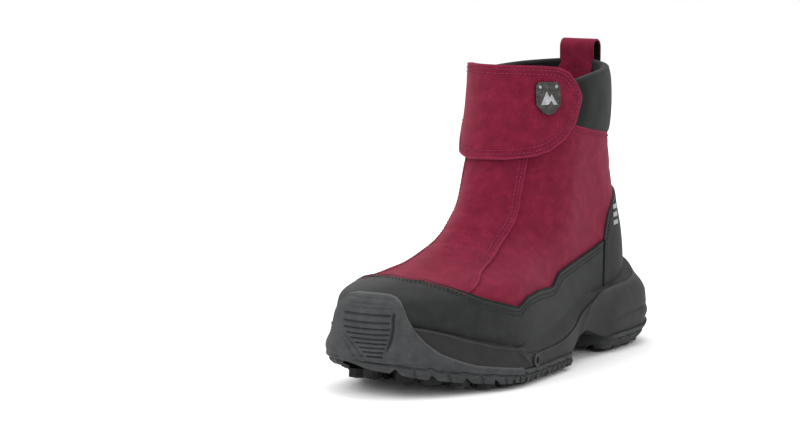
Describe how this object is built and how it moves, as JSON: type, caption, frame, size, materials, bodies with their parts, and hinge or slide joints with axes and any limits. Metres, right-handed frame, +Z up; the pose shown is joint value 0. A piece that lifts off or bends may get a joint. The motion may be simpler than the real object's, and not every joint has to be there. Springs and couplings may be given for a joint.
{
  "type": "winter boot",
  "caption": "Ankle-high suede winter cross country boot with a front strap flap, inner side zip, padded collar, pull loop and studded lug outsole.",
  "frame": {"origin": "middle of the boot's outline on the ground, under the middle of its bounding box", "axes": "the toe points to -Y, the heel to +Y, the wearer's outer side to +X, +Z is up"},
  "size_m": [0.0997, 0.2794, 0.1802],
  "materials": {
    "suede": "napped burgundy suede",
    "mudguard_leather": "matt charcoal coated leather",
    "rubber": "matt black moulded rubber",
    "midsole_foam": "matt black moulded foam",
    "neoprene": "padded black neoprene",
    "lining_fabric": "dark knitted lining",
    "footbed_foam": "grey felt-covered foam",
    "board": "fibre board",
    "stiffener": "thermoplastic stiffener",
    "shank_plastic": "satin black plastic",
    "webbing": "woven black webbing",
    "zip_tape_fabric": "woven black tape",
    "coil": "black nylon coil",
    "hook_loop": "black hook and loop tape",
    "bright_metal": "plated metal",
    "gunmetal": "dark satin metal",
    "stud_steel": "steel",
    "reflective": "reflective film"
  },
  "bodies": {
    "boot": {"outsole_forefoot": "rubber", "forefoot_lugs": "rubber", "outsole_heel": "rubber", "heel_lugs": "rubber", "toe_bumper": "rubber", "toe_ribs": "rubber", "shank_plate": "shank_plastic", "midsole": "midsole_foam", "sidewall_ring": "rubber", "stud_bases": "stud_steel", "stud_tips": "stud_steel", "lasting_board": "board", "footbed": "footbed_foam", "toe_puff": "stiffener", "heel_counter": "stiffener", "lining": "lining_fabric", "quarter_outer": "suede", "quarter_inner_front": "suede", "quarter_inner_rear": "suede", "shaft_front": "suede", "mudguard": "mudguard_leather", "instep_strip": "suede", "heel_panel": "mudguard_leather", "reflector_bars": "reflective", "collar": "neoprene", "collar_binding": "webbing", "zip_gusset": "lining_fabric", "zip_tape": "zip_tape_fabric", "zip_teeth": "coil", "zip_top_stops": "bright_metal", "zip_bottom_stop": "bright_metal", "flap_root": "suede", "loop_tape": "hook_loop", "loop_anchor": "webbing"},
    "zip_slider": {"zip_slider": "bright_metal"},
    "zip_puller": {"zip_puller": "bright_metal"},
    "pull_strap": {"pull_strap": "suede"},
    "flap": {"flap_shell": "suede", "flap_lining": "lining_fabric", "hook_tape": "hook_loop", "badge_plate": "gunmetal", "badge_emblem": "bright_metal", "badge_rivets": "bright_metal"},
    "pull_loop": {"pull_loop": "webbing"}
  },
  "joints": [
    {"name": "flap_open", "type": "hinge", "parent": "boot", "child": "flap", "pos_m": [-0.03555, 0.02076, 0.15217], "axis": [0.0019, -0.1484, -0.9889], "range_deg": [0, 115]},
    {"name": "zip_slide", "type": "slide", "parent": "boot", "child": "zip_slider", "axis": [0.0088, -0.0646, -0.9979], "range_m": [0, 0.073]},
    {"name": "puller_swing", "type": "hinge", "parent": "zip_slider", "child": "zip_puller", "pos_m": [-0.03705, 0.02866, 0.15798], "axis": [0.0006, 0.9979, -0.0646], "range_deg": [0, 90]},
    {"name": "strap_swing", "type": "hinge", "parent": "zip_puller", "child": "pull_strap", "pos_m": [-0.03692, 0.02776, 0.14401], "axis": [0.0006, 0.9979, -0.0646], "range_deg": [0, 82]},
    {"name": "loop_rock", "type": "hinge", "parent": "boot", "child": "pull_loop", "pos_m": [-0.0012, 0.09415, 0.1702], "axis": [1, 0, 0], "range_deg": [-18, 18], "stiffness_Nm_per_rad": 0.02}
  ]
}
